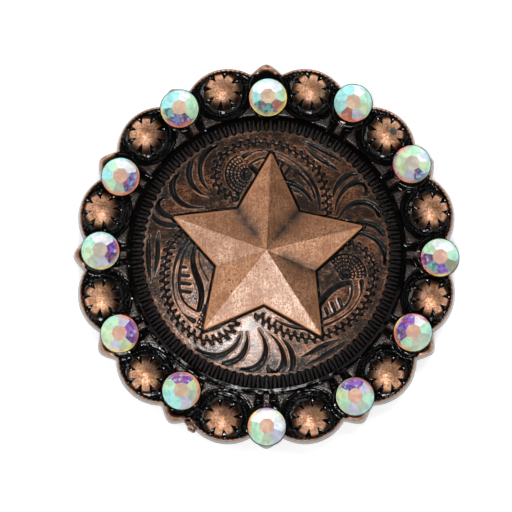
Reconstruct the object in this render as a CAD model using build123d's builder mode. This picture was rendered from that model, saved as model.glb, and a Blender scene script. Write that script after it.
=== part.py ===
from build123d import *

import math
import os

# A western berry concho: a round metal ornament that screws onto a belt, strap or bag. One casting
# carries a faceted star on a domed dish, a milled edge round the dish, and a scalloped rim with
# notched berries and pointed leaf pads. A flat-back crystal is glued on each leaf pad, and a
# threaded post stands in the hollow of the back.
#
# Lengths are in millimetres and angles in degrees. The back lies on z = 0, +Z points out of the
# face, and the origin is in the middle of the back.

# Rim
berry_count = 12  # berries, and as many leaf pads between them
overall_diameter = 38.1  # over two opposite scallops, at the back
rim_thickness = 1.75
edge_draft = 6.0  # slope of the outer wall, which is widest at the back
scallop_radius = 4.4
valley_depth = 0.85  # from the top of a scallop to the bottom of the valleys beside it
tip_set_in = 0.05  # of a leaf's point, inside the reach of the scallops
tip_half_angle = 62.0  # between a leaf point's flank and its axis
lip_width = 0.2  # thin raised lip along the scallops
well_depth = 0.5  # of the sunk floor inside the lip, which the berries stand on

# Berries
berry_radius = 1.87
berry_height = 1.6
berry_gap = 0.12  # between a berry and the lip
berry_notches = 8
notch_inner_radius = 1.07
notch_half_angle = 19.0
notch_foot_height = 0.2  # of a notch's bottom above the sunk floor, at the berry's edge

# Land ring and channel round the dish
land_gap = 0.36  # between the berries and the land ring
land_width = 0.75
land_rise = 0.2  # above the lip
channel_width = 0.5
channel_depth = 0.5

# Domed dish with its milled edge
dish_edge_rise = 1.55  # of the dome's edge above the lip
dome_rise = 0.9  # of the dome's middle above its edge
milled_width = 1.3
milled_drop = 0.8
milled_cuts = 96
milled_cut_width = 0.44
milled_cut_depth = 0.35
milled_land = 0.12  # plain metal between the dome and a cut's round end

# Star
star_points = 5
star_tip_radius = 9.84
star_notch_radius = 5.07
star_turn = 87.2  # direction of its top point, from +X
star_lift = 0.3  # of its edge above the dish, at the inner corners
star_height = 2.25  # from its edge to its middle

# Hollow in the back
casting_wall = 1.4
recess_slope_width = 1.0

# Threaded post for a number 8-32 screw
post_radius = 3.0
post_set_back = 0.3  # of the post's end, inside the plane of the back
thread_radius = 2.08
thread_roof = 0.6  # metal over the end of the blind hole

# Leaf pads that carry the crystals
leaf_rise = 0.35  # above the lip
leaf_half_width = 1.15
leaf_point_width = 0.55  # half the pad's width where its point begins
leaf_point_length = 0.5

# Crystals
stone_radius = 1.85
stone_height = 1.35
stone_girdle = 0.2
stone_sides = 8
table_radius = 0.74
girdle_facet_height = 0.4
girdle_facet_width = 0.26
stone_set_in = 0.25  # of the crystals' ring, inside the berries' ring

# Clearances
glue_gap = 0.05  # under each crystal
post_gap = 0.05  # round the post in its socket

# Where each crystal was glued, from the one on +X anticlockwise: how far it slid round the concho,
# as a share of the room beside a berry, how far it slid outwards, as a share of the room before
# the dish, and how it is turned on its own axis.
stone_places = [
    # (round, outwards, turned)
    (-0.65, 0.40, 8),
    (0.97, 0.25, 31),
    (0.11, 0.51, 17),
    (-0.32, -0.72, 4),
    (0.43, 0.17, 24),
    (1.08, -0.17, 39),
    (-0.60, -0.12, 12),
    (-0.76, -0.06, 28),
    (-0.97, -0.48, 20),
    (0.05, 0.35, 3),
    (0.97, 0.00, 35),
    (0.92, -0.12, 15),
]

# Cuts of the scroll engraving on the dome: curved, pointed at both ends and widest in the middle.
# The pattern is charted for one repeat, where each cut starts, bends and ends, as directions from
# +X and as shares of the dome's reach.
scroll_repeats = 3
scroll_depth = 0.2
scroll_cut_width = 0.42
scroll_cuts = [
    # (start direction, reach), (bend direction, reach), (end direction, reach)
    ((113, 0.96), (127, 0.90), (133, 0.69)),
    ((128, 0.96), (136, 0.88), (138, 0.72)),
    ((136, 0.96), (147, 0.88), (144, 0.63)),
    ((152, 0.96), (159, 0.90), (155, 0.70)),
    ((161, 0.96), (166, 0.86), (161, 0.73)),
    ((171, 0.96), (183, 0.97), (194, 0.96)),
    ((169, 0.89), (181, 0.90), (191, 0.92)),
    ((158, 0.56), (194, 0.79), (224, 0.82)),
    ((181, 0.67), (203, 0.73), (220, 0.73)),
    ((178, 0.59), (205, 0.62), (219, 0.68)),
]

# Places that follow from the sizes, from the rim inwards
pitch = 360 / berry_count
overall_radius = overall_diameter / 2
edge_slope_width = rim_thickness * math.tan(math.radians(edge_draft))
well_inset = edge_slope_width + lip_width
berry_ring_radius = overall_radius - well_inset - berry_gap - berry_radius
land_outer = berry_ring_radius - berry_radius - land_gap
channel_outer = land_outer - land_width
dish_radius = channel_outer - channel_width
dome_edge_radius = dish_radius - milled_width
recess_radius = dome_edge_radius
tip_reach = overall_radius - tip_set_in
stone_ring_radius = berry_ring_radius - stone_set_in

# Heights above the back
well_floor = rim_thickness - well_depth
root_height = well_floor / 2  # where the raised forms start, inside the base
land_top = rim_thickness + land_rise
channel_floor = land_top - channel_depth
leaf_top = rim_thickness + leaf_rise
dome_edge_height = rim_thickness + dish_edge_rise
dish_foot_height = dome_edge_height - milled_drop
crown_height = dome_edge_height + dome_rise

# The dome is a cap of a large ball
dome_radius = (dome_edge_radius**2 + dome_rise**2) / (2 * dome_rise)


def dome_height(reach):
    """Height of the dome's surface at a distance from the middle."""
    return crown_height - dome_radius + math.sqrt(dome_radius**2 - reach**2)


star_edge_height = dome_height(star_notch_radius) + star_lift
post_length = star_edge_height - post_gap - post_set_back
thread_depth = post_length - thread_roof


def scalloped_face(inset):
    """Draws in the open sketch a round face with a scallop at each berry, inset from the outline."""
    Circle(overall_radius - valley_depth - inset)
    with PolarLocations(overall_radius - scallop_radius, berry_count, start_angle=pitch / 2):
        Circle(scallop_radius - inset)


def pointed_face(inset):
    """Draws in the open sketch the scalloped face with the leaves' points, inset from the outline."""
    scalloped_face(inset)
    tip_half_turn = math.radians(tip_half_angle)
    point_reach = tip_reach - inset / math.sin(tip_half_turn)
    flank_run = scallop_radius / 2
    flank_spread = flank_run * math.tan(tip_half_turn)
    with PolarLocations(0, berry_count):
        Polygon(
            (point_reach, 0),
            (point_reach - flank_run, flank_spread),
            (0, 0),
            (point_reach - flank_run, -flank_spread),
            align=None,
        )


# One notch between two lobes of a berry: a wedge that widens outwards, over a sloping bottom
cap_radius = (berry_radius**2 + berry_height**2) / (2 * berry_height)
notch_end_height = (
    berry_height - cap_radius + math.sqrt(cap_radius**2 - notch_inner_radius**2)
)
notch_run = berry_radius - notch_inner_radius
notch_fall = notch_end_height - notch_foot_height
notch_length = notch_run + berry_gap
notch_spread = notch_length * math.tan(math.radians(notch_half_angle))

with BuildPart() as notch_cutter:
    with BuildSketch():
        Polygon(
            (notch_inner_radius, 0),
            (notch_inner_radius + notch_length, notch_spread),
            (notch_inner_radius + notch_length, -notch_spread),
            align=None,
        )
    extrude(amount=berry_height)
    notch_bottom = Plane(
        origin=(notch_inner_radius, 0, notch_end_height),
        x_dir=(notch_run, 0, -notch_fall),
        z_dir=(notch_fall, 0, notch_run),
    )
    split(bisect_by=notch_bottom, keep=Keep.TOP)

# One berry, standing on z = 0 in the middle: a cap of a ball with notches filed into its foot
with BuildPart() as berry:
    with BuildSketch(Plane.XZ):
        with BuildLine():
            # Half of the angle that the cap spans, from its top to its foot
            cap_middle = math.atan2(berry_height, berry_radius)
            ThreePointArc(
                (berry_radius, 0),
                (
                    cap_radius * math.sin(cap_middle),
                    berry_height - cap_radius + cap_radius * math.cos(cap_middle),
                ),
                (0, berry_height),
            )
            Polyline((0, berry_height), (0, 0), (berry_radius, 0))
        make_face()
    revolve(axis=Axis.Z)
    with PolarLocations(0, berry_notches, start_angle=180 / berry_notches):
        add(notch_cutter.part, mode=Mode.SUBTRACT)

# One cut of the milled edge, in place on +X: a round-ended slot sunk square to the slope
with BuildPart() as milling_cutter:
    slope_plane = Plane(
        origin=(dome_edge_radius, 0, dome_edge_height),
        x_dir=(milled_width, 0, -milled_drop),
        z_dir=(milled_drop, 0, milled_width),
    )
    with BuildSketch(slope_plane):
        with Locations((milled_land + milled_cut_width / 2, 0)):
            Circle(milled_cut_width / 2)
            Rectangle(
                milled_width + channel_width / 2,
                milled_cut_width,
                align=(Align.MIN, Align.CENTER),
            )
    extrude(amount=milled_cut_depth, both=True)

# One repeat of the engraver's cuts: prisms with a lens for a section, over a bottom that follows
# the dome
with BuildPart() as scroll_cutter:
    with BuildSketch(Plane.XY.offset(dome_edge_height - scroll_depth)):
        for points in scroll_cuts:
            start, bend, end = (
                Vector(share * dome_edge_radius, 0).rotate(Axis.Z, direction)
                for direction, share in points
            )
            sideways = (end - start).rotate(Axis.Z, 90).normalized() * scroll_cut_width / 2
            with BuildLine():
                ThreePointArc(start, bend + sideways, end)
                ThreePointArc(end, bend - sideways, start)
            make_face()
    extrude(amount=crown_height - dome_edge_height + scroll_depth)
    with Locations((0, 0, crown_height - dome_radius)):
        Sphere(dome_radius - scroll_depth, mode=Mode.SUBTRACT)

# The casting
with BuildPart() as concho_body:
    # Scalloped base with its sloping outer wall
    with BuildSketch():
        pointed_face(0)
    with BuildSketch(Plane.XY.offset(rim_thickness)):
        pointed_face(edge_slope_width)
    loft(ruled=True)

    # Sunk floor inside the lip
    with BuildSketch(Plane.XY.offset(well_floor)):
        scalloped_face(well_inset)
    extrude(amount=well_depth, mode=Mode.SUBTRACT)

    # Land ring, channel and domed dish
    with BuildSketch(Plane.XZ):
        with BuildLine():
            ThreePointArc(
                (0, crown_height),
                (dome_edge_radius / 2, dome_height(dome_edge_radius / 2)),
                (dome_edge_radius, dome_edge_height),
            )
            Polyline(
                (dome_edge_radius, dome_edge_height),
                (dish_radius, dish_foot_height),
                (dish_radius, channel_floor),
                (channel_outer, channel_floor),
                (channel_outer, land_top),
                (land_outer, land_top),
                (land_outer, root_height),
                (0, root_height),
                (0, crown_height),
            )
        make_face()
    revolve(axis=Axis.Z)

    # Leaf pads, flat on top for the crystals
    with BuildSketch(Plane.XY.offset(root_height)):
        leaf_foot = land_outer - land_width / 4
        leaf_shoulder = tip_reach - tip_set_in - 2 * leaf_point_length
        with PolarLocations(0, berry_count):
            Polygon(
                (leaf_foot, leaf_point_width),
                (leaf_foot, -leaf_point_width),
                (stone_ring_radius, -leaf_half_width),
                (leaf_shoulder, -leaf_point_width),
                (leaf_shoulder + leaf_point_length, 0),
                (leaf_shoulder, leaf_point_width),
                (stone_ring_radius, leaf_half_width),
                align=None,
            )
    extrude(amount=leaf_top - root_height)

    # Scroll engraving
    with PolarLocations(0, scroll_repeats):
        add(scroll_cutter.part, mode=Mode.SUBTRACT)

    # Star
    with BuildSketch(Plane.XY.offset(star_edge_height)) as star_outline:
        with BuildLine():
            star_corners = []
            for corner in range(2 * star_points):
                reach = star_notch_radius if corner % 2 else star_tip_radius
                heading = math.radians(star_turn + corner * 180 / star_points)
                star_corners.append((reach * math.cos(heading), reach * math.sin(heading)))
            Polyline(*star_corners, close=True)
        make_face()
    extrude(amount=dish_foot_height - star_edge_height)
    loft(sections=[star_outline.sketch.face(), Vertex(0, 0, star_edge_height + star_height)])

    # Hollow back, and the socket for the post
    with BuildSketch(Plane.XZ):
        with BuildLine():
            Polyline(
                (0, crown_height - casting_wall),
                (recess_radius - recess_slope_width, dome_edge_height - casting_wall),
                (recess_radius, dish_foot_height - casting_wall),
                (recess_radius, 0),
                (0, 0),
                close=True,
            )
        make_face()
    revolve(axis=Axis.Z, mode=Mode.SUBTRACT)
    with BuildSketch():
        Circle(post_radius + post_gap)
    extrude(amount=star_edge_height, mode=Mode.SUBTRACT)

    # Milled edge of the dish
    with PolarLocations(0, milled_cuts):
        add(milling_cutter.part, mode=Mode.SUBTRACT)

    # Berries
    with PolarLocations(berry_ring_radius, berry_count, start_angle=pitch / 2):
        with Locations((0, 0, well_floor)):
            add(berry.part)

# The post, with its blind threaded hole
with BuildPart() as back_post:
    with BuildSketch(Plane.XY.offset(post_set_back)):
        Circle(post_radius)
    extrude(amount=post_length)
    with BuildSketch(Plane.XY.offset(post_set_back)):
        Circle(thread_radius)
    extrude(amount=thread_depth, mode=Mode.SUBTRACT)


def cut_facets(first_heading, foot_height, top_reach, top_height):
    """Cuts a flat facet on each side of the open stone, from its girdle up to a reach and height."""
    for side in range(stone_sides):
        heading = math.radians(first_heading + side * 360 / stone_sides)
        rise = top_height - foot_height
        facet = Plane(
            origin=(top_reach * math.cos(heading), top_reach * math.sin(heading), top_height),
            z_dir=(rise * math.cos(heading), rise * math.sin(heading), stone_radius - top_reach),
        )
        split(bisect_by=facet, keep=Keep.BOTTOM)


# One crystal, standing on z = 0 in the middle: a flat back, a thin girdle, eight main facets, a
# small facet over each corner between them, and the table
with BuildPart() as crystal_blank:
    with BuildSketch():
        RegularPolygon(stone_radius, 2 * stone_sides)
    extrude(amount=stone_height)
    half_side = 180 / stone_sides
    table_reach = table_radius * math.cos(math.radians(half_side))
    cut_facets(0, stone_girdle, table_reach, stone_height)
    cut_facets(
        half_side,
        stone_girdle,
        stone_radius - girdle_facet_width,
        stone_girdle + girdle_facet_height,
    )

# The crystals, each on its leaf pad
room_round = (
    stone_ring_radius * math.sin(math.radians(pitch / 2)) - stone_radius - berry_radius
)
room_inwards = stone_ring_radius - stone_radius - dish_radius
crystals = []
for number in range(berry_count):
    slid_round, slid_outwards, turned = stone_places[number % len(stone_places)]
    swing = math.degrees(slid_round * room_round / stone_ring_radius)
    reach = stone_ring_radius + slid_outwards * room_inwards
    heading = number * pitch + swing
    with BuildPart() as crystal:
        with PolarLocations(reach, 1, start_angle=heading):
            with Locations(Location((0, 0, leaf_top + glue_gap), (0, 0, turned))):
                add(crystal_blank.part)
    crystals.append(crystal)

pieces = [(concho_body, "concho_body"), (back_post, "back_post")]
for number, crystal in enumerate(crystals, start=1):
    pieces.append((crystal, f"crystal_{number:02d}"))

os.makedirs("parts", exist_ok=True)
for piece, name in pieces:
    piece.part.label = name
    export_step(piece.part, f"parts/{name}.step")
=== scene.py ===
"""Dresses the berry concho: an antique copper casting with an engraved dome, a star and glued crystals.

Lengths in the sections are in millimetres, and a mesh gets its size in metres where it is made.
"""

import math

import bpy
import numpy as np
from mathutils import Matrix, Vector


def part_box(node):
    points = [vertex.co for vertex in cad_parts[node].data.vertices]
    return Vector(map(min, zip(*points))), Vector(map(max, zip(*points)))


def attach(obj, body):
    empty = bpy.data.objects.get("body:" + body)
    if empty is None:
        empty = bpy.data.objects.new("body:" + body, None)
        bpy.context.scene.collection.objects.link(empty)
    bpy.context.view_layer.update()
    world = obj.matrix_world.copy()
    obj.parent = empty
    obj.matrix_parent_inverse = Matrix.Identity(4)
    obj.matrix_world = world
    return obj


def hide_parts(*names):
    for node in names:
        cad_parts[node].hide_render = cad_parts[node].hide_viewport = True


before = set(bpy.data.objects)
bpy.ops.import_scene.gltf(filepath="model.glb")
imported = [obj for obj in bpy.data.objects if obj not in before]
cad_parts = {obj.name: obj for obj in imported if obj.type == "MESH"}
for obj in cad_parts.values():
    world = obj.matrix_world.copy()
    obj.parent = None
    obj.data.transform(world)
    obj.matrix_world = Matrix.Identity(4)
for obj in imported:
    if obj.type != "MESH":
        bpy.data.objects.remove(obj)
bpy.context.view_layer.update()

# The threaded post
# A turned brass insert with chamfered ends and a number 8-32 thread in its hole, which takes the screw that
# holds the concho on. It is pressed into the middle of the casting's back and plated with it.
MILLIMETRE = 0.001
POST_RADIUS = 3.0
POST_BOTTOM = 0.3
POST_TOP = 4.287
POST_CHAMFER = 0.15
POST_COLUMNS = 96
THREAD_ROOT = 2.08
THREAD_CREST = 1.68
THREAD_PITCH = 0.794
THREAD_DEPTH = 3.387
THREAD_FIRST_ROW = 0.16
THREAD_ROW_STEP = 0.1
COUNTERSINK = 0.2
DRILL_POINT = 0.2
BRASS_DULL = (0.36, 0.18, 0.1, 1)
BRASS_BRIGHT = (0.6, 0.36, 0.23, 1)


def steps(count):
    """Equal angles once round the piece."""
    return np.arange(count) * 2 * math.pi / count


def ring(angles, radius, height):
    """A row of points at a radius and a height, each one number or one for each angle."""
    radius = np.broadcast_to(radius, angles.shape)
    height = np.broadcast_to(height, angles.shape)
    return np.stack([radius * np.cos(angles), radius * np.sin(angles), height], axis=1)


def pole(height):
    """A row of one point on the middle axis."""
    return np.array([[0.0, 0.0, height]])


def mesh_piece(name, points, faces, marks=None, sharp_from=60):
    """An object over points in millimetres, smooth but for edges sharper than an angle in degrees.

    marks holds for each name one number for each point, which a material reads as an attribute.
    """
    mesh = bpy.data.meshes.new(name)
    mesh.from_pydata((points * MILLIMETRE).tolist(), [], [face for part in faces for face in part.tolist()])
    mesh.shade_smooth()
    mesh.set_sharp_from_angle(angle=math.radians(sharp_from))
    for label, values in (marks or {}).items():
        attribute = mesh.attributes.new(label, "FLOAT", "POINT")
        attribute.data.foreach_set("value", values.astype(np.float32))
    piece = bpy.data.objects.new(name, mesh)
    bpy.context.scene.collection.objects.link(piece)
    return piece


def joined_marks(rows, labels):
    """For each label the marks of all the rows in one array, with 0 where a row has none."""
    return {label: np.concatenate([np.broadcast_to(marks.get(label, 0.0), len(row)) for row, marks in rows])
            for label in labels}


def skin(name, rows, sharp_from=60):
    """A closed piece over rows of points that each run once round it, from one pole to the other.

    A row is its points and a dictionary of marks. Without poles the last row is joined to the first.
    """
    points = [row for row, marks in rows]
    if len(points[0]) > 1:
        pairs = list(zip(range(len(rows)), list(range(1, len(rows))) + [0]))
    else:
        pairs = list(zip(range(len(rows) - 1), range(1, len(rows))))
    starts = np.cumsum([0] + [len(row) for row in points])
    faces = []
    for low, high in pairs:
        here = np.arange(starts[low], starts[low + 1])
        there = np.arange(starts[high], starts[high + 1])
        if len(here) == 1:
            faces.append(np.stack([np.repeat(here, len(there)), there, np.roll(there, -1)], axis=1))
        elif len(there) == 1:
            faces.append(np.stack([here, np.repeat(there, len(here)), np.roll(here, -1)], axis=1))
        else:
            faces.append(np.stack([here, there, np.roll(there, -1), np.roll(here, -1)], axis=1))
    joined = np.concatenate(points)
    fans = [part[:, [0, k, k + 1]] for part in faces for k in range(1, part.shape[1] - 1)]
    corners = joined[np.concatenate(fans)]
    if np.sum(corners[:, 0] * np.cross(corners[:, 1], corners[:, 2])) < 0:
        faces = [part[:, ::-1] for part in faces]
    labels = sorted({label for row, marks in rows for label in marks})
    return mesh_piece(name, joined, faces, joined_marks(rows, labels), sharp_from)


def rings(angles, places, marks=None):
    """Rows at pairs of a radius and a height, all with the same marks."""
    return [(ring(angles, radius, height), marks or {}) for radius, height in places]


def feed(tree, node, inputs):
    """Gives a node its inputs, each a plain value or another node's output."""
    for socket, value in inputs.items():
        if isinstance(value, bpy.types.NodeSocket):
            tree.links.new(value, node.inputs[socket])
        else:
            node.inputs[socket].default_value = value


def add_node(tree, kind, inputs=None, **settings):
    """A node with its settings and inputs."""
    made = tree.nodes.new(kind)
    for setting, value in settings.items():
        setattr(made, setting, value)
    feed(tree, made, inputs or {})
    return made


def new_material(name):
    """A material with its tree, its own shader, and the point on the piece in millimetres."""
    material = bpy.data.materials.new(name)
    material.use_nodes = True
    tree = material.node_tree
    place = add_node(tree, "ShaderNodeTexCoord").outputs["Object"]
    scaled = add_node(tree, "ShaderNodeMapping", {"Vector": place, "Scale": (1000, 1000, 1000)})
    return material, tree, tree.nodes["Principled BSDF"], scaled.outputs["Vector"]


def stretched(tree, place, turn, scale):
    """The place, turned about the upright axis and drawn out, so that noise on it becomes strokes."""
    inputs = {"Vector": place, "Rotation": (0, 0, turn), "Scale": scale}
    return add_node(tree, "ShaderNodeMapping", inputs).outputs["Vector"]


def noise(tree, place, scale, detail=4, roughness=0.6):
    """Cloudy noise from 0 to 1, with scale in waves to the millimetre."""
    inputs = {"Vector": place, "Scale": scale, "Detail": detail, "Roughness": roughness}
    return add_node(tree, "ShaderNodeTexNoise", inputs).outputs["Fac"]


def ramp(tree, value, low, high, to_low=0.0, to_high=1.0):
    """A smooth change from to_low to to_high while value goes from low to high."""
    inputs = {"Value": value, "From Min": low, "From Max": high, "To Min": to_low, "To Max": to_high}
    return add_node(tree, "ShaderNodeMapRange", inputs, interpolation_type="SMOOTHSTEP").outputs["Result"]


def mark(tree, name):
    """A mark that the mesh carries at its points."""
    return add_node(tree, "ShaderNodeAttribute", attribute_name=name).outputs["Fac"]


def blend(tree, share, low, high):
    """The colour low where share is 0, and high where it is 1."""
    return add_node(tree, "ShaderNodeMix", {"Factor": share, 6: low, 7: high}, data_type="RGBA").outputs[2]


def level(tree, share, low, high):
    """The number low where share is 0, and high where it is 1."""
    return add_node(tree, "ShaderNodeMix", {"Factor": share, "A": low, "B": high}).outputs["Result"]


def combine(tree, operation, first, second):
    """A sum, product, maximum and so on of two values, kept between 0 and 1."""
    made = add_node(tree, "ShaderNodeMath", {0: first, 1: second}, operation=operation, use_clamp=True)
    return made.outputs["Value"]


def bump(tree, height, depth, under=None):
    """A normal that is dented by height, with the whole swing of height worth depth in millimetres."""
    inputs = {"Height": height, "Strength": 1.0, "Distance": depth * MILLIMETRE}
    if under is not None:
        inputs["Normal"] = under
    return add_node(tree, "ShaderNodeBump", inputs).outputs["Normal"]


def finish_with(piece, material):
    """Gives the whole piece one material."""
    piece.data.materials.clear()
    piece.data.materials.append(material)


def belongs(piece, node):
    """The piece rides with the concho and stands for its CAD node, which is hidden."""
    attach(piece, "root")
    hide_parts(node)


plated_brass, tree, shader, place = new_material("plated_brass")
lines = noise(tree, stretched(tree, place, 0, (1, 1, 14)), 2.0)
feed(tree, shader, {
    "Base Color": blend(tree, lines, BRASS_DULL, BRASS_BRIGHT),
    "Metallic": 1.0,
    "Roughness": ramp(tree, lines, 0.3, 0.7, 0.26, 0.42),
    "Normal": bump(tree, lines, 0.01)})

angles = steps(POST_COLUMNS)
rows = [(pole(POST_TOP), {})]
rows += rings(angles, (
    (POST_RADIUS - POST_CHAMFER, POST_TOP), (POST_RADIUS, POST_TOP - POST_CHAMFER),
    (POST_RADIUS, POST_BOTTOM + POST_CHAMFER), (POST_RADIUS - POST_CHAMFER, POST_BOTTOM),
    (THREAD_ROOT + COUNTERSINK, POST_BOTTOM)))
for height in np.arange(THREAD_FIRST_ROW, THREAD_DEPTH, THREAD_ROW_STEP):
    turn = np.mod(height / THREAD_PITCH - angles / (2 * math.pi), 1)
    run_out = min(1, height * 2, (THREAD_DEPTH - height) * 2)
    flank = np.clip(np.abs(turn - 0.5) * 3 - 0.25, 0, 1) * run_out
    rows.append((ring(angles, THREAD_ROOT - (THREAD_ROOT - THREAD_CREST) * flank, POST_BOTTOM + height), {}))
rows.append((ring(angles, THREAD_CREST, POST_BOTTOM + THREAD_DEPTH), {}))
rows.append((pole(POST_BOTTOM + THREAD_DEPTH + DRILL_POINT), {}))
post = skin("threaded_post", rows, sharp_from=40)
finish_with(post, plated_brass)
belongs(post, "back_post")

# The rim of the casting
# A zinc casting with scallops, leaf tips, a raised lip, a well for the berries, a channel round the dish and
# a hollow back. It is copper plated, blackened with lacquer in the low places and rubbed bright on the high.
RIM_COLUMNS = 1152
SCALLOP_COUNT = 12
SCALLOP_CENTRE = 14.65
SCALLOP_RADIUS = 4.4
SCALLOP_STEP = math.radians(360 / SCALLOP_COUNT)
TIP_REACH = 19.0
TIP_HALF_ANGLE = math.radians(45)
TIP_BLUNTNESS = 0.034
VALLEY_REACH = 17.9
OUTLINE_BLEND = 300.0
CHANNEL_FLOOR = 1.45
CHANNEL_RADII = np.arange(13.15, 13.6, 0.05)
POOL_EDGE = 13.62
POOL_SLOPE = 0.45
POOL_DEPTH = 0.21
POOL_RIPPLE = 0.03
FLUTE_COUNT = 96
LAND_INNER = 13.696
LAND_EDGE = (14.4, 14.52)
LAND_TOP = 1.9
STEM_SIDE = (0.26, 0.36)
STEM_END = (14.9, 15.1)
STEM_GAP = (0.95, 1.08)
STEM_RISE = 0.08
BERRY_RING = 16.676
BERRY_CLEARANCE = (2.62, 2.78)
PATCH_CLEARANCE = 3.1
PATCH_INNER = 13.74
PATCH_OUTER = 15.25
PATCH_SIDE = 1.0
PATCH_FLARE = 0.19
PATCH_FLARE_START = 13.65
PATCH_BEVEL = (-0.04, 0.05)
PATCH_RISE = 0.12
STONE_RING = 16.426
PAD_EDGE = (1.7, 1.95)
LEAF_TOP = 2.1
LEAF_CORNER = (0.045, 0.075)
WELL_FLOOR = 1.25
WELL_INNER = 15.3
LAND_RADII = np.arange(POOL_EDGE, WELL_INNER, 0.07)
WELL_ROWS = 16
WELL_MARGIN = 0.16
LIP_TOP = 1.75
LIP_WIDTH = 0.15
LIP_TOOTH_COUNT = 277
LIP_TOOTH_DEPTH = 0.07
LIP_INSIDE = ((0.08, 0.12, 0.0), (0.02, 0.34, 0.3), (-0.02, 0.47, 1.0))
LIP_CREST = ((0.75, 0.03, 0.14), (0.5, 0.06, 0.2), (0.25, 0.04, 0.12))
WALL_DRAFT = 0.24
WALL_STEPS = ((0.0, LIP_TOP - 0.1), (0.3, 1.2), (0.65, 0.6), (0.97, 0.08))
FOOT_INSET = 0.08
RECESS_RADIUS = 11.896
RECESS_EDGE = 0.06
SOCKET_RADIUS = 3.05
SOCKET_TOP = 4.337
RECESS_PROFILE = (
    (RECESS_RADIUS, 0.06), (RECESS_RADIUS, 1.04), (RECESS_RADIUS - 0.06, 1.15), (10.896, 1.9), (8.0, 2.14),
    (5.0, 2.387), (3.5, 2.51), (3.12, 2.5), (SOCKET_RADIUS, 2.58), (SOCKET_RADIUS, SOCKET_TOP))
HIDDEN_PROFILE = ((3.3, 4.43), (3.8, 3.2), (8.0, 2.6), (11.4, 2.1), (12.2, 1.6), (13.0, 1.4))
FLASH_MIDDLE = (-7.3, -16.75)
FLASH_RADIUS = 0.62
FLASH_TOP = 1.5
FLASH_COLUMNS = 28
FLASH_SLOPE = ((0.3, 0.02), (0.55, 0.12), (0.75, 0.06), (0.9, 0.22), (1.0, 0.45))
LACQUER = (0.0016, 0.0015, 0.0015, 1)
LACQUER_ROUGHNESS = 0.07
FILM = (0.02, 0.015, 0.012, 1)
FILM_ROUGHNESS = 0.18
GREY_PLATE = (0.05, 0.042, 0.039, 1)
RIM_TONES = ((0.1, 0.04, 0.024, 1), (0.48, 0.22, 0.12, 1), (0.8, 0.43, 0.25, 1))


def ease(value, low, high):
    """A smooth change from 0 at low to 1 at high."""
    t = np.clip((value - low) / (high - low), 0, 1)
    return t * t * (3 - 2 * t)


def from_tip(angles):
    """The angle to the nearest leaf tip, with its sign."""
    return np.mod(angles + SCALLOP_STEP / 2, SCALLOP_STEP) - SCALLOP_STEP / 2


def outline_reach(angles):
    """How far the base reaches from the middle: scallops, rounded leaf tips and the valleys between."""
    off_scallop = from_tip(angles + SCALLOP_STEP / 2)
    side = SCALLOP_CENTRE * np.sin(off_scallop)
    scallop = SCALLOP_CENTRE * np.cos(off_scallop) + np.sqrt(SCALLOP_RADIUS**2 - side**2)
    off_tip = from_tip(angles)
    flare = math.tan(TIP_HALF_ANGLE)
    spread = np.sqrt(np.sin(off_tip) ** 2 + TIP_BLUNTNESS**2) - TIP_BLUNTNESS
    tip = TIP_REACH * flare / (spread + np.cos(off_tip) * flare)
    reaches = np.stack([scallop, tip, np.full_like(tip, VALLEY_REACH)]) / TIP_REACH
    return TIP_REACH * np.sum(reaches**OUTLINE_BLEND, axis=0) ** (1 / OUTLINE_BLEND)


def rim_row(angles, radius):
    """A row over the rim's sunken top: channel, land ring with stem bars and patches, leaf pads and well."""
    across = np.abs(radius * np.sin(from_tip(angles)))
    outward = radius * np.cos(from_tip(angles))
    berry_x = BERRY_RING * math.sin(SCALLOP_STEP / 2)
    berry_y = BERRY_RING * math.cos(SCALLOP_STEP / 2)
    from_berry = np.hypot(across - berry_x, outward - berry_y)
    from_stone = np.hypot(across, outward - STONE_RING)
    past_channel = ease(radius, LAND_INNER - 0.04, LAND_INNER + 0.02)
    past_land = ease(radius, *LAND_EDGE)
    pool = np.clip((POOL_EDGE - radius) / POOL_SLOPE, 0, 1) * ease(-np.sin(angles), 0.1, 0.45)
    ripple = POOL_RIPPLE * np.sin(FLUTE_COUNT * angles / 4) * np.sin(5 * angles)
    base = CHANNEL_FLOOR + (WELL_FLOOR - CHANNEL_FLOOR) * past_land + pool * (POOL_DEPTH + ripple)
    stem = (1 - ease(across, *STEM_SIDE)) * past_channel * (1 - ease(radius, *STEM_END))
    beside_stem = 1 - ease(across, *STEM_GAP)
    land = past_channel * (1 - past_land) * ease(from_berry, *BERRY_CLEARANCE) * (1 - beside_stem)
    from_side = across - PATCH_SIDE - PATCH_FLARE * (radius - PATCH_FLARE_START)
    inset = np.minimum(from_berry - PATCH_CLEARANCE, from_side)
    inset = np.minimum(np.minimum(inset, radius - PATCH_INNER), PATCH_OUTER - radius)
    patch = ease(inset, *PATCH_BEVEL)
    pad = 1 - ease(from_stone, *PAD_EDGE)
    height = base + land * (LAND_TOP - PATCH_RISE - base)
    for share, top in ((patch, LAND_TOP), (stem, LAND_TOP + STEM_RISE), (pad, LEAF_TOP)):
        height = np.maximum(height, base + share * (top - base))
    open_top = np.maximum(patch, 0.75 * stem)
    marks = {"black": 1 - open_top, "grey": open_top, "film": 0.9 * open_top}
    return ring(angles, radius, height), marks


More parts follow.
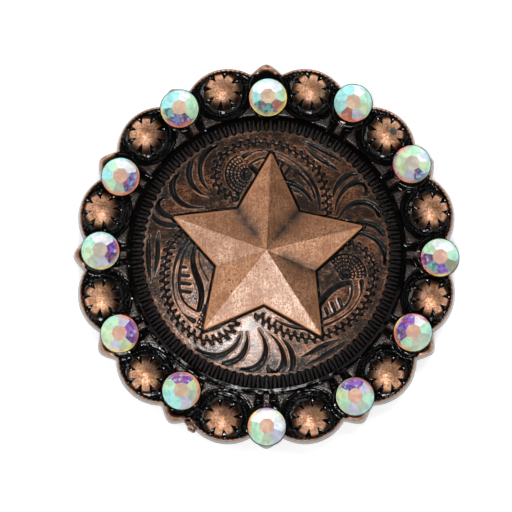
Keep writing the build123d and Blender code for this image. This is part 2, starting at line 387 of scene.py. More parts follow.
def antique_copper(name, dark, light, wear):
    """Copper plate: mottled in the open, bright on edges, dull under a film, and black where lacquer lies."""
    material, tree, shader, place = new_material(name)
    black = mark(tree, "black")
    film_clouds = ramp(tree, noise(tree, place, 1.5), 0.36, 0.6, 0.3, 1.0)
    patchy = combine(tree, "MULTIPLY", mark(tree, "film"), film_clouds)
    stipple = noise(tree, place, 5.0, detail=3, roughness=0.75)
    specks = ramp(tree, stipple, 0.48, 0.66, 1.0, 0.72)
    film = combine(tree, "MULTIPLY", ramp(tree, patchy, 0.0, 0.85, 0.0, 0.98), specks)
    clouds = ramp(tree, noise(tree, place, 0.4, detail=5), 0.38, 0.6, 0.12, 1.0)
    scratches = noise(tree, stretched(tree, place, 0.6, (1.3, 9.0, 1.3)), 1.0, detail=3)
    scoured = ramp(tree, scratches, 0.35, 0.6, 0.5, 1.0)
    grains = combine(tree, "MULTIPLY", ramp(tree, stipple, 0.42, 0.58, 0.2, 1.0), scoured)
    open_copper = blend(tree, combine(tree, "MULTIPLY", clouds, grains), dark, light)
    worn_through = ramp(tree, noise(tree, place, 1.4), 0.4, 0.62, 0.15, 0.85)
    copper = blend(tree, combine(tree, "MULTIPLY", mark(tree, "edge"), worn_through), open_copper, wear)
    plate = blend(tree, mark(tree, "grey"), copper, GREY_PLATE)
    filmed = blend(tree, film, plate, FILM)
    covered = combine(tree, "MAXIMUM", black, combine(tree, "MULTIPLY", film, 0.8))
    bare = combine(tree, "SUBTRACT", 1.0, covered)
    open_roughness = ramp(tree, stipple, 0.35, 0.65, 0.54, 0.42)
    lumps = combine(tree, "MULTIPLY", noise(tree, place, 1.1, detail=1), black)
    dents = combine(tree, "MULTIPLY", stipple, bare)
    dented = bump(tree, dents, 0.014, bump(tree, lumps, 0.07))
    feed(tree, shader, {
        "Base Color": blend(tree, black, filmed, LACQUER),
        "Metallic": bare,
        "Roughness": level(tree, black, level(tree, film, open_roughness, FILM_ROUGHNESS), LACQUER_ROUGHNESS),
        "Specular IOR Level": 0.35,
        "Normal": dented,
        "Coat Weight": combine(tree, "MULTIPLY", bare, 0.8),
        "Coat Roughness": 0.13,
        "Coat IOR": 1.65,
        "Coat Normal": dented})
    return material


rim_copper = antique_copper("rim_copper", *RIM_TONES)
angles = steps(RIM_COLUMNS)
reach = outline_reach(angles)
leaf_corner = 1 - ease(np.abs(from_tip(angles)), *LEAF_CORNER)
tooth = 0.5 + 0.5 * np.sin(angles * LIP_TOOTH_COUNT)
lip_width = LIP_WIDTH + 0.5 * leaf_corner + LIP_TOOTH_DEPTH * tooth * (1 - leaf_corner)
lip_outer = reach - WALL_DRAFT
rows = [(pole(SOCKET_TOP + 0.1), {})] + rings(angles, HIDDEN_PROFILE, {"black": 1.0})
for radius in np.concatenate([CHANNEL_RADII, LAND_RADII]):
    rows.append(rim_row(angles, np.full_like(angles, radius)))
well_outer = lip_outer - lip_width - WELL_MARGIN
for share in np.linspace(0, 1, WELL_ROWS)[1:]:
    rows.append(rim_row(angles, WELL_INNER + share * (well_outer - WELL_INNER)))
for width, height, shine in LIP_INSIDE:
    marks = {"black": 1 - shine, "edge": shine * (0.35 + 0.65 * tooth)}
    rows.append((ring(angles, lip_outer - lip_width - width, WELL_FLOOR + height), marks))
for share, height, crown in LIP_CREST:
    marks = {"edge": 0.6 + 0.3 * leaf_corner, "film": 0.25 - 0.2 * leaf_corner}
    crest = LIP_TOP - 0.05 + height + crown * leaf_corner
    rows.append((ring(angles, lip_outer - share * lip_width, crest), marks))
rows.append((ring(angles, lip_outer - 0.04, LIP_TOP - 0.03), {"edge": 0.3, "film": 0.2}))
for share, height in WALL_STEPS:
    rows.append((ring(angles, lip_outer + share * WALL_DRAFT, height), {"grey": 0.8, "film": 0.45}))
rows.append((ring(angles, reach - FOOT_INSET, 0.0), {"grey": 0.4}))
for share in (0.3, 0.65, 1.0):
    back = reach - FOOT_INSET + share * (RECESS_RADIUS + RECESS_EDGE - reach + FOOT_INSET)
    rows.append((ring(angles, back, 0.0), {"film": 0.1}))
rows += rings(angles, RECESS_PROFILE, {"film": 0.35})
rows.append((pole(SOCKET_TOP), {}))
rim = skin("rim_casting", rows)
finish_with(rim, rim_copper)
belongs(rim, "concho_body")

# A lump of flash was left on the casting's edge at the lower left.
angles = steps(FLASH_COLUMNS)
wobble = 1 + 0.2 * np.sin(3 * angles) + 0.14 * np.sin(5 * angles + 1.0)
rows = [(pole(FLASH_TOP), {"edge": 0.4, "film": 0.5})]
for share, drop in FLASH_SLOPE:
    lumps = 0.1 * share * np.sin(4 * angles + 9 * share) * np.sin(7 * angles)
    row = ring(angles, FLASH_RADIUS * share * wobble, FLASH_TOP - drop + lumps)
    rows.append((row, {"edge": 0.4, "film": 0.5}))
rows.append((ring(angles, FLASH_RADIUS * 0.9 * wobble, 0.5), {"film": 0.8}))
rows.append((pole(0.4), {"film": 0.8}))
rows = [(row + np.array([*FLASH_MIDDLE, 0.0]), marks) for row, marks in rows]
flash = skin("casting_flash", rows)
finish_with(flash, rim_copper)
belongs(flash, "concho_body")

# The milled edge of the dish
# Ninety-six flutes with round inner ends are cut down the sloping edge of the dish, part of the same casting.
# The copper left between them thins to a spike, and the cuts are full of black lacquer.
DOME_BALL = 79.07
CROWN = 4.2
DOME_EDGE_RADIUS = 11.896
DOME_EDGE_HEIGHT = 3.3
DISH_RADIUS = 13.196
DISH_FOOT = 2.5
MILLED_INNER = 11.8
MILLED_ROW_STEP = 0.07
FLUTE_COLUMNS = 14
FLUTE_START = 11.92
FLUTE_ROUND = 0.26
FLUTE_LENGTH = 1.25
FLUTE_HALF_WIDTHS = (0.24, 0.27, 0.4)
FLUTE_DEPTHS = (0.15, 0.3, 0.5)
FLUTE_WALL = 0.32
SOOT_RADII = (11.8, 12.15)
DOME_TONES = ((0.018, 0.007, 0.005, 1), (0.47, 0.21, 0.112, 1), (0.74, 0.36, 0.2, 1))
UNDER_MILLED = ((13.2, 1.35), (13.0, 1.4), (12.3, 1.75), (MILLED_INNER, 2.6))
RING_INPUTS = {"Piece": "Object", "Count": "Int", "Ring radius": "Float", "First angle": "Float",
               "Smallest": "Float", "Largest": "Float", "Merge distance": "Float", "Reach": "Float",
               "Finish": "Material"}


def dome_height(radius):
    """The height of the smooth dome."""
    return CROWN - DOME_BALL + np.sqrt(DOME_BALL**2 - np.square(radius))


def repeated(name, source, count, radius, first_angle, finish,
             size_spread=0.0, seed=0, merge=0.0, reach=100.0):
    """Copies of a piece in a ring, turned to face outwards and made one plain mesh. The source is used up.

    A place that lies further than reach along the X axis gets no copy.
    """
    tree = bpy.data.node_groups.new(name + "_ring", "GeometryNodeTree")
    ports = {label: tree.interface.new_socket(label, in_out="INPUT", socket_type="NodeSocket" + kind)
             for label, kind in RING_INPUTS.items()}
    tree.interface.new_socket("Geometry", in_out="OUTPUT", socket_type="NodeSocketGeometry")

    def node(kind, output, inputs=None, **settings):
        """One output of a new node."""
        return add_node(tree, kind, inputs, **settings).outputs[output]

    given = add_node(tree, "NodeGroupInput").outputs
    circle = node("GeometryNodeMeshCircle", "Mesh", {
        "Vertices": given["Count"], "Radius": given["Ring radius"]})
    first_turn = node("ShaderNodeCombineXYZ", "Vector", {"Z": given["First angle"]})
    spots = node("GeometryNodeTransform", "Geometry", {"Geometry": circle, "Rotation": first_turn})
    share = node("ShaderNodeMath", "Value", {0: 2 * math.pi, 1: given["Count"]}, operation="DIVIDE")
    number = node("GeometryNodeInputIndex", "Index")
    turn = node("ShaderNodeMath", "Value", {0: number, 1: share, 2: given["First angle"]},
                operation="MULTIPLY_ADD")
    facing = node("FunctionNodeAxisAngleToRotation", "Rotation", {"Axis": (0, 0, 1), "Angle": turn})
    sizes = node("FunctionNodeRandomValue", 1, {"Seed": seed, 2: given["Smallest"], 3: given["Largest"]},
                 data_type="FLOAT")
    model = node("GeometryNodeObjectInfo", "Geometry", {"Object": given["Piece"]})
    across = node("ShaderNodeSeparateXYZ", "X", {"Vector": node("GeometryNodeInputPosition", 0)})
    within = node("FunctionNodeCompare", "Result", {0: across, 1: given["Reach"]}, operation="LESS_THAN")
    copies = node("GeometryNodeInstanceOnPoints", "Instances", {
        "Points": spots, "Instance": model, "Selection": within, "Rotation": facing, "Scale": sizes})
    real = node("GeometryNodeRealizeInstances", "Geometry", {"Geometry": copies})
    merged = node("GeometryNodeMergeByDistance", "Geometry", {
        "Geometry": real, "Distance": given["Merge distance"]})
    painted = node("GeometryNodeSetMaterial", "Geometry", {"Geometry": merged, "Material": given["Finish"]})
    add_node(tree, "NodeGroupOutput", {"Geometry": painted})
    carrier = bpy.data.objects.new(name + "_carrier", bpy.data.meshes.new(name + "_carrier"))
    bpy.context.scene.collection.objects.link(carrier)
    modifier = carrier.modifiers.new("ring", "NODES")
    modifier.node_group = tree
    values = {"Piece": source, "Count": count, "Ring radius": radius * MILLIMETRE, "First angle": first_angle,
              "Smallest": 1 - size_spread, "Largest": 1 + size_spread, "Merge distance": merge * MILLIMETRE,
              "Reach": reach * MILLIMETRE, "Finish": finish}
    for label, value in values.items():
        modifier[ports[label].identifier] = value
    evaluated = carrier.evaluated_get(bpy.context.evaluated_depsgraph_get())
    mesh = bpy.data.meshes.new_from_object(evaluated)
    mesh.name = name
    carrier.modifiers.remove(modifier)
    bpy.data.objects.remove(carrier)
    bpy.data.objects.remove(source)
    piece = bpy.data.objects.new(name, mesh)
    bpy.context.scene.collection.objects.link(piece)
    return piece


flute_angle = 2 * math.pi / FLUTE_COUNT
angles = (np.arange(FLUTE_COLUMNS + 1) / FLUTE_COLUMNS - 0.5) * flute_angle
rows = []
for radius in np.arange(MILLED_INNER, DISH_RADIUS + 0.01, MILLED_ROW_STEP):
    slope = np.interp(radius, [MILLED_INNER, DOME_EDGE_RADIUS, DISH_RADIUS],
                      [dome_height(MILLED_INNER), DOME_EDGE_HEIGHT, DISH_FOOT])
    past_end = radius - FLUTE_START
    half_width = np.interp(past_end, [0, FLUTE_ROUND, FLUTE_LENGTH], FLUTE_HALF_WIDTHS)
    if past_end < FLUTE_ROUND:
        half_width *= math.sqrt(max(0.0, 1 - (1 - past_end / FLUTE_ROUND) ** 2)) if past_end > 0 else 0.0
    inset = half_width - np.abs(angles * radius) if half_width > 0 else np.full_like(angles, -1.0)
    cut = 1 - (1 - np.clip(inset / FLUTE_WALL, 0, 1)) ** 2
    depth = cut * np.interp(past_end, [0, 0.3, FLUTE_LENGTH], FLUTE_DEPTHS)
    sooty = 0.97 * ease(radius, *SOOT_RADII)
    marks = {"black": np.maximum(np.clip(0.5 + inset / 0.05, 0, 1), sooty)}
    marks["edge"] = 0.4 * np.exp(-np.abs(inset) / 0.06) * (1 - sooty)
    rows.append((ring(angles, radius, slope - depth), marks))
rows.append((ring(angles, DISH_RADIUS + 0.02, rows[-1][0][:, 2] - 0.12), {"black": 1.0}))
rows += rings(angles, UNDER_MILLED, {"black": 1.0})
points = np.concatenate([row for row, marks in rows])
width = FLUTE_COLUMNS + 1
corner = (np.arange(len(rows))[:, None] * width + np.arange(FLUTE_COLUMNS)[None]).ravel()
after = (corner + width) % (len(rows) * width)
faces = [np.stack([corner, after, after + 1, corner + 1], axis=1)]
flute = mesh_piece("flute", points, faces, joined_marks(rows, ("black", "edge")))
dome_copper = antique_copper("dome_copper", *DOME_TONES)
milled_edge = repeated("milled_edge", flute, FLUTE_COUNT, 0.0, 0.0, dome_copper, merge=0.002)
belongs(milled_edge, "concho_body")

# The engraved dome
# Part of the casting, with three like groups of scroll cuts round the star: gouges, a zigzag, a leaf and a
# hatched flower. The cuts are black with lacquer, their edges rubbed bright, and a dark film lies in places.
GROUP_TURNS = (0, 120, 240)
FIELD_INNER = 4.6
FIELD_OUTER = 8.3
FIELD_COLUMNS = 1008
FIELD_UNDERSIDE = 3.3
BORDER_OUTER = 11.8
BORDER_COLUMNS = 1440
BORDER_UNDERSIDE = 2.78
DOME_ROW_STEP = 0.0545
CUT_DEPTH = 0.22
CUT_WALL = 0.3
EDGE_WIDTH = 0.07
BURR = 0.025
# A cut is a line of points, each with half its width there.
GOUGES = (
    ((-4.95, 10.6, 0.3), (-5.4, 10.38, 0.33), (-5.95, 9.85, 0.34), (-6.37, 9.1, 0.3), (-6.5, 8.25, 0.25),
     (-6.37, 7.25, 0.21), (-5.97, 6.52, 0.14), (-5.55, 6.05, 0.03)),
    ((-7.33, 9.0, 0.27), (-7.5, 8.5, 0.31), (-7.6, 7.8, 0.31), (-7.45, 7.05, 0.29), (-7.05, 6.42, 0.24),
     (-6.45, 5.88, 0.15), (-5.8, 5.58, 0.03)),
    ((-8.75, 7.75, 0.3), (-9.07, 7.25, 0.33), (-9.22, 6.55, 0.35), (-9.08, 5.82, 0.34), (-8.65, 5.17, 0.31),
     (-8.05, 4.72, 0.25), (-7.25, 4.46, 0.16), (-6.15, 4.42, 0.07)),
    ((-9.55, 5.35, 0.05), (-9.85, 5.52, 0.2), (-10.2, 5.5, 0.3), (-10.6, 5.2, 0.33), (-10.7, 4.75, 0.36),
     (-10.5, 4.25, 0.36), (-10.1, 3.87, 0.33), (-9.5, 3.57, 0.26), (-8.6, 3.42, 0.2), (-7.7, 3.5, 0.14),
     (-6.7, 3.82, 0.03)),
    ((-11.2, 3.95, 0.12), (-11.0, 3.45, 0.25), (-10.48, 3.03, 0.3), (-9.85, 2.8, 0.3), (-9.2, 2.7, 0.25),
     (-8.5, 2.76, 0.17), (-7.9, 2.95, 0.04)),
    ((-11.4, 1.95, 0.03), (-11.52, 1.0, 0.2), (-11.53, -0.4, 0.27), (-11.45, -1.6, 0.2),
     (-11.3, -2.75, 0.03)),
    ((-10.5, 2.2, 0.03), (-10.6, 1.2, 0.2), (-10.62, 0.0, 0.26), (-10.75, -1.1, 0.2),
     (-10.95, -2.2, 0.03)),
)
LEAF_CUTS = (
    ((-6.2, 2.5, 0.12), (-7.0, 1.95, 0.16), (-7.75, 1.2, 0.19), (-8.4, 0.25, 0.19), (-8.82, -0.8, 0.17),
     (-9.04, -1.7, 0.14), (-9.12, -2.6, 0.11), (-9.1, -3.5, 0.09), (-8.97, -4.3, 0.08), (-8.7, -5.0, 0.07),
     (-8.3, -5.7, 0.07), (-7.95, -6.1, 0.1), (-7.55, -6.4, 0.2), (-7.1, -6.65, 0.27)),
    ((-7.0, 1.45, 0.1), (-7.6, 0.75, 0.12), (-8.05, -0.1, 0.14), (-8.32, -1.0, 0.16), (-8.48, -2.0, 0.17),
     (-8.52, -3.0, 0.16), (-8.42, -3.9, 0.14), (-8.15, -4.6, 0.13), (-7.7, -5.15, 0.13), (-7.2, -5.5, 0.13),
     (-6.75, -5.75, 0.12)),
    ((-6.6, 1.3, 0.15), (-7.0, 0.5, 0.2), (-7.17, -0.4, 0.25), (-7.13, -1.2, 0.3), (-6.92, -2.0, 0.34),
     (-6.6, -2.8, 0.35), (-6.38, -3.6, 0.33), (-6.33, -4.4, 0.31), (-6.45, -5.1, 0.3), (-6.6, -5.6, 0.26)),
    ((-6.6, 0.1, 0.06), (-6.55, -0.8, 0.07), (-6.35, -1.5, 0.08), (-5.95, -2.2, 0.09), (-5.65, -2.75, 0.1)),
    ((-8.35, -1.38, 0.18), (-7.87, -1.42, 0.18)),
    ((-8.43, -2.17, 0.19), (-7.6, -2.27, 0.19)),
    ((-8.43, -2.93, 0.19), (-7.45, -3.07, 0.19)),
    ((-8.4, -3.72, 0.19), (-7.45, -3.87, 0.19)),
)
ZIGZAG = (
    (-5.0, 3.7), (-6.0, 3.3), (-7.1, 2.75), (-8.0, 2.1), (-8.8, 1.3), (-9.5, 0.4), (-9.8, -0.8), (-9.95, -2.0),
    (-9.95, -3.0), (-9.75, -4.3), (-9.3, -5.5), (-8.8, -6.4), (-8.3, -7.0), (-7.3, -7.9), (-6.3, -8.45),
    (-5.4, -8.55), (-4.5, -8.3), (-3.7, -7.85), (-3.1, -7.0), (-3.0, -6.1), (-3.2, -5.4))
ZIGZAG_PITCH = 0.74
ZIGZAG_START = 0.04
ZIGZAG_SHEAR = 0.21
ZIGZAG_RISE = 0.39
ZIGZAG_SHARPNESS = 2.3
ZIGZAG_OUTER = (0.3, 0.24)
ZIGZAG_INNER = (0.32, 0.22)
ZIGZAG_WALL = 0.16
RIDGE_HALF_WIDTH = 0.13
RIDGE_HEIGHT = 0.12
FLOWER_MIDDLE = (-5.7, -5.6)
FLOWER_RADIUS = 2.0
FLOWER_ROW = 0.36
FLOWER_SPOKE = 0.2
FLOWER_BORDER = 0.09
FLOWER_DEPTH = 0.15
STAR_MOAT = 0.3
STAR_MOAT_DEPTH = 0.1
FILM_RADII = (10.0, 11.5)
# A spot of film is its middle, its radius and how dark it is.
FILM_SPOTS = ((-4.6, 4.9, 2.7, 1.0), (8.5, 3.75, 2.1, 1.0), (-9.3, 1.6, 2.2, 0.8), (5.9, -2.3, 2.3, 1.0),
              (-5.5, -1.2, 1.4, 1.0), (4.0, 4.8, 2.0, 1.0), (3.4, 6.8, 2.5, 0.9), (8.0, -0.2, 2.4, 1.0),
              (-2.5, 6.7, 2.0, 0.9), (-6.2, 3.0, 2.0, 0.8), (4.6, -4.0, 1.6, 1.0), (10.6, -2.5, 2.1, 0.7),
              (-9.0, -2.6, 1.2, 0.6), (-7.4, 7.4, 1.8, 0.6), (-7.7, 0.7, 2.3, 1.0), (0.6, 11.0, 2.4, 0.8),
              (-4.6, 8.6, 1.9, 0.7), (6.2, 7.6, 1.8, 0.7), (9.9, 2.2, 1.8, 0.8), (-2.6, -9.6, 1.4, 0.5))
STAR_TIP = 9.84
STAR_NOTCH = 5.07
STAR_TURN = 87.2
STAR_POINTS = 5


def line_lengths(line):
    """How far along the line each of its points is."""
    return np.concatenate([[0], np.cumsum(np.hypot(*np.diff(line[:, :2], axis=0).T))])


def smooth_line(corners, spacing=0.15):
    """Even points along a curve that bends smoothly through the corners. A third number runs smoothly too."""
    corners = np.asarray(corners, float)
    padded = np.concatenate([[2 * corners[0] - corners[1]], corners, [2 * corners[-1] - corners[-2]]])
    t = np.linspace(0, 1, 12, endpoint=False)[:, None]
    spans = []
    for before, here, there, after in zip(padded, padded[1:], padded[2:], padded[3:]):
        bend = 2 * before - 5 * here + 4 * there - after
        twist = 3 * here - before - 3 * there + after
        spans.append(0.5 * (2 * here + (there - before) * t + bend * t**2 + twist * t**3))
    fine = np.concatenate(spans + [corners[-1:]])
    length = line_lengths(fine)
    even = np.linspace(0, length[-1], max(3, int(length[-1] / spacing)))
    return np.stack([np.interp(even, length, column) for column in fine.T], axis=1)


def near_line(line, x, y, within):
    """For the points within a distance of a line: which they are, how far off, to which side, how far along."""
    route = line[:, :2]
    low = route.min(axis=0) - within
    high = route.max(axis=0) + within
    which = np.flatnonzero((x > low[0]) & (x < high[0]) & (y > low[1]) & (y < high[1]))
    spans = np.diff(route, axis=0)
    lengths = np.hypot(*spans.T)
    away = np.stack([x[which], y[which]], axis=1)[:, None] - route[None, :-1]
    t = np.clip(np.sum(away * spans, axis=2) / lengths**2, 0, 1)
    gaps = np.hypot(*np.moveaxis(away - t[..., None] * spans, 2, 0))
    best = gaps.argmin(axis=1)
    rows = np.arange(len(which))
    gap = gaps[rows, best]
    side = np.sign(spans[best, 0] * away[rows, best, 1] - spans[best, 1] * away[rows, best, 0])
    along = line_lengths(line)[best] + t[rows, best] * lengths[best]
    near = gap < within
    return which[near], gap[near], side[near], along[near]


def carve(relief, which, inset, depth=CUT_DEPTH, wall=CUT_WALL):
    """Sinks a groove where inset, the distance in from a cut's edge, is above 0, and marks it and its edge.

    Its walls slope over the width of wall, so a narrow cut is a V.
    """
    cut = depth * np.clip(inset / wall, 0, 1)
    edge = np.exp(-((np.minimum(inset + 0.02, 0) / EDGE_WIDTH) ** 2))
    for label, values in (("depth", cut), ("black", np.clip(0.5 + inset / 0.05, 0, 1)), ("edge", edge)):
        relief[label][which] = np.maximum(relief[label][which], values)


def carve_flower(relief, x, y):
    """The flower: curved rows of small hatched blocks inside an arc, clear of the leaf beside it."""
    flower_x = x - FLOWER_MIDDLE[0]
    flower_y = y - FLOWER_MIDDLE[1]
    out = np.hypot(flower_x, flower_y)
    inside = np.flatnonzero(out < FLOWER_RADIUS + 0.4)
    flower_x, flower_y, out = flower_x[inside], flower_y[inside], out[inside]
    clear = np.minimum(0.924 * (flower_x + 1.2) - 0.382 * (flower_y + 1.5), 0.6 - flower_y)
    row = np.abs(np.mod(out / FLOWER_ROW, 1) - 0.5) * FLOWER_ROW
    spacing = FLOWER_SPOKE * np.where(out > 3 * FLOWER_ROW, 1.0, 2.0)
    spoke = np.abs(np.mod(np.arctan2(flower_y, flower_x) / spacing, 1) - 0.5) * spacing * out
    hatch = np.minimum(np.maximum(0.08 - row, 0.07 - spoke), FLOWER_RADIUS - out)
    border = FLOWER_BORDER - np.abs(out - FLOWER_RADIUS)
    carve(relief, inside, np.minimum(np.maximum(hatch, border), clear), depth=FLOWER_DEPTH, wall=0.08)
    veil = ease(0.8 * flower_x + 0.6 * flower_y, -0.9, 0.2) * ease(clear, -0.1, 0.1) * ease(-out, -2.1, -1.9)
    relief["film"][inside] = np.maximum(relief["film"][inside], 0.9 * veil)


def carve_group(relief, x, y):
    """One of the three groups of cuts."""
    for corners in GOUGES + LEAF_CUTS:
        line = smooth_line(corners)
        which, gap, side, along = near_line(line, x, y, line[:, 2].max() + 0.4)
        carve(relief, which, np.interp(along, line_lengths(line), line[:, 2]) - gap)
    which, gap, side, along = near_line(smooth_line(ZIGZAG), x, y, 0.8)
    offset = gap * side
    turn = np.mod((along + ZIGZAG_SHEAR * offset) / ZIGZAG_PITCH + ZIGZAG_START, 1)
    climb = np.interp(turn, [0, ZIGZAG_RISE, 1], [-ZIGZAG_SHARPNESS, ZIGZAG_SHARPNESS, -ZIGZAG_SHARPNESS])
    wave = np.sin(math.pi / 2 * np.clip(climb, -1, 1))
    outer = ZIGZAG_OUTER[0] + ZIGZAG_OUTER[1] * wave - offset
    inner = offset + ZIGZAG_INNER[0] - ZIGZAG_INNER[1] * wave
    carve(relief, which, np.minimum(outer, inner), wall=ZIGZAG_WALL)
    ridge = np.clip(1 - np.abs(offset - 0.23 * wave + 0.01) / RIDGE_HALF_WIDTH, 0, 1)
    relief["depth"][which] -= RIDGE_HEIGHT * ridge
    relief["black"][which] -= 0.2 * ridge
    relief["film"][which] = np.maximum(relief["film"][which], ridge)
    carve_flower(relief, x, y)


def star_corners():
    """The star's outline: tips and notches by turns, anticlockwise from the top tip."""
    turns = np.radians(STAR_TURN) + np.arange(2 * STAR_POINTS) * math.pi / STAR_POINTS
    reaches = np.where(np.arange(2 * STAR_POINTS) % 2 == 0, STAR_TIP, STAR_NOTCH)
    return np.stack([reaches * np.cos(turns), reaches * np.sin(turns)], axis=1)


def dome_relief(x, y):
    """Height and marks of the dome at points: its curve, its cuts, the film, the lacquer at the star's foot."""
    relief = {label: np.zeros_like(x) for label in ("depth", "black", "edge", "film")}
    for turn in GROUP_TURNS:
        cosine = math.cos(math.radians(turn))
        sine = math.sin(math.radians(turn))
        carve_group(relief, cosine * x + sine * y, cosine * y - sine * x)
    outline = star_corners()
    which, gap, side, along = near_line(np.concatenate([outline, outline[:1]]), x, y, 0.8)
    carve(relief, which, STAR_MOAT - gap, depth=STAR_MOAT_DEPTH)
    for spot_x, spot_y, radius, share in FILM_SPOTS:
        veil = share * (1 - ease(np.hypot(x - spot_x, y - spot_y), 0.3 * radius, radius))
        relief["film"] = np.maximum(relief["film"], veil)
    relief["film"] = np.maximum(relief["film"], 0.9 * ease(np.hypot(x, y), *FILM_RADII))
    relief["edge"] *= (1 - relief["black"]) * (1 - 0.6 * relief["film"])
    height = dome_height(np.hypot(x, y)) - relief["depth"] + BURR * relief["edge"]
    return height, relief


def dome_piece(name, inner, outer, columns, underside):
    """A closed ring of the dome with its cuts, a dip under the next ring and a flat hidden underside."""
    angles = steps(columns)
    radii = np.linspace(inner, outer, int(round((outer - inner) / DOME_ROW_STEP)) + 1)
    x = np.concatenate([radius * np.cos(angles) for radius in radii])
    y = np.concatenate([radius * np.sin(angles) for radius in radii])
    height, relief = dome_relief(x, y)
    rows = []
    for index, radius in enumerate(radii):
        part = slice(index * columns, (index + 1) * columns)
        marks = {label: relief[label][part] for label in ("black", "edge", "film")}
        rows.append((ring(angles, radius, height[part]), marks))
    rows.append((ring(angles, outer + 0.05, rows[-1][0][:, 2] - 0.03), rows[-1][1]))
    rows.append((ring(angles, outer + 0.05, underside), {"black": 1.0}))
    rows.append((ring(angles, inner, underside), {"black": 1.0}))
    piece = skin(name, rows, sharp_from=65)
    finish_with(piece, dome_copper)
    belongs(piece, "concho_body")


dome_piece("dome_border", FIELD_OUTER, BORDER_OUTER, BORDER_COLUMNS, BORDER_UNDERSIDE)
dome_piece("dome_field", FIELD_INNER, FIELD_OUTER, FIELD_COLUMNS, FIELD_UNDERSIDE)

# The star
# A raised five-point star of ten flat facets with crisp ridges and valleys, part of the casting. It was
# brushed up and down after blackening, so the copper is bright, with patina in the valleys and small pits.
# The facets that face the lamps in front are painted lighter and paler than the others: painted light.
STAR_FOOT = 3.35
STAR_EDGE = 4.337
STAR_APEX = 6.587
STAR_COLUMNS = 36
STAR_ROWS = 40
STAR_SIDE = ((0.994, 0.01, 0.0), (1.0, 0.05, 0.15), (1.004, 0.16, 0.8), (1.006, STAR_EDGE - STAR_FOOT, 1.0))
TIP_WEAR = 0.16
TIP_WEAR_REACH = 0.2
VALLEY_SOOT = (1.0, 0.4, 0.2, 0.9, 1.0)
VALLEY_WIDTH = 0.9
# The way towards the lamps in front: facets facing it get the lit tones of painted light, the others the shaded
# tones.
LIT_WAY = (-0.14, -0.99)
SHADED_FACET_COPPER = ((0.33, 0.13, 0.056, 1), (0.82, 0.44, 0.24, 1))
LIT_FACET_COPPER = ((0.36, 0.18, 0.11, 1), (0.92, 0.7, 0.56, 1))
RIDGE_COPPER = (0.64, 0.27, 0.11, 1)
PATINA = (0.075, 0.045, 0.036, 1)
PIT = (0.1, 0.035, 0.02, 1)

corners = star_corners()
share = np.arange(STAR_COLUMNS) / STAR_COLUMNS
share = share - 0.06 * np.sin(2 * math.pi * share)
sides = []
for index, (here, there) in enumerate(zip(corners, np.roll(corners, -1, axis=0))):
    notch = (there if index % 2 == 0 else here) / STAR_NOTCH
    side = here + share[:, None] * (there - here)
    valley = np.abs(side[:, 0] * notch[1] - side[:, 1] * notch[0])
    way = np.array([there[1] - here[1], here[0] - there[0]]) / np.hypot(*(there - here))
    # Painted light: how far this facet faces the lamps in front.
    polish = ease(way @ np.array(LIT_WAY), 0.55, 0.95)
    same = np.full((STAR_COLUMNS, 2), (VALLEY_SOOT[index // 2], polish))
    sides.append(np.column_stack([side, valley, same]))
sides = np.concatenate(sides)
outline = sides[:, :2]
valley, soot, polish = sides[:, 2:].T
for tip in corners[::2]:
    near_tip = np.hypot(*(outline - tip).T)
    pull = TIP_WEAR * np.exp(-((near_tip / TIP_WEAR_REACH) ** 2))
    outline -= pull[:, None] * (tip / STAR_TIP)
rows = [(pole(STAR_APEX - 0.03), {"valley": 0.0, "border": 0.0})]
for out in np.concatenate([np.linspace(0, 1, STAR_ROWS)[1:-1], [0.985]]):
    height = STAR_APEX - out * (STAR_APEX - STAR_EDGE)
    sooted = soot * np.exp(-valley * out / VALLEY_WIDTH) * ease(out, 0.05, 0.4)
    marks = {"valley": sooted, "border": out, "polish": polish}
    rows.append((np.column_stack([outline * out, np.full(len(outline), height)]), marks))
for out, drop, black in STAR_SIDE:
    marks = {"valley": soot * np.exp(-valley / VALLEY_WIDTH), "border": 1.0, "black": black}
    rows.append((np.column_stack([outline * out, np.full(len(outline), STAR_EDGE - drop)]), marks))
rows.append((pole(STAR_FOOT), {"black": 1.0}))

star_copper, tree, shader, place = new_material("star_copper")
black = mark(tree, "black")
strokes = noise(tree, stretched(tree, place, 0, (9.0, 0.7, 0.7)), 1.0, detail=5, roughness=0.7)
fine_strokes = noise(tree, stretched(tree, place, 0, (9.0, 0.7, 0.7)), 3.2, detail=3, roughness=0.7)
grains = noise(tree, place, 4.5, detail=3, roughness=0.7)
patches = ramp(tree, noise(tree, place, 0.45, detail=5), 0.35, 0.65, 0.0, 0.5)
broad = combine(tree, "ADD", ramp(tree, strokes, 0.3, 0.72, 0.0, 0.5), patches)
tone = combine(tree, "MULTIPLY", broad, ramp(tree, grains, 0.4, 0.55, 0.15, 1.0))
# Painted light: the facets that face the lamps take the lit tones.
copper = blend(tree, mark(tree, "polish"), blend(tree, tone, *SHADED_FACET_COPPER), blend(tree, tone, *LIT_FACET_COPPER))
rounded = blend(tree, ramp(tree, mark(tree, "border"), 0.94, 0.99), copper, RIDGE_COPPER)
smudges = noise(tree, stretched(tree, place, 0, (0.7, 1.5, 1)), 1.0, detail=6)
patina = combine(tree, "MULTIPLY", ramp(tree, mark(tree, "valley"), 0.1, 1.0),
                 ramp(tree, smudges, 0.3, 0.6, 0.45, 1.0))
stained = blend(tree, patina, rounded, PATINA)
pits = add_node(tree, "ShaderNodeTexVoronoi", {"Vector": place, "Scale": 0.9, "Randomness": 1.0})
pitted = blend(tree, ramp(tree, pits.outputs["Distance"], 0.06, 0.1, 1.0, 0.0), stained, PIT)
brushed = bump(tree, grains, 0.02, bump(tree, fine_strokes, 0.02, bump(tree, strokes, 0.03)))
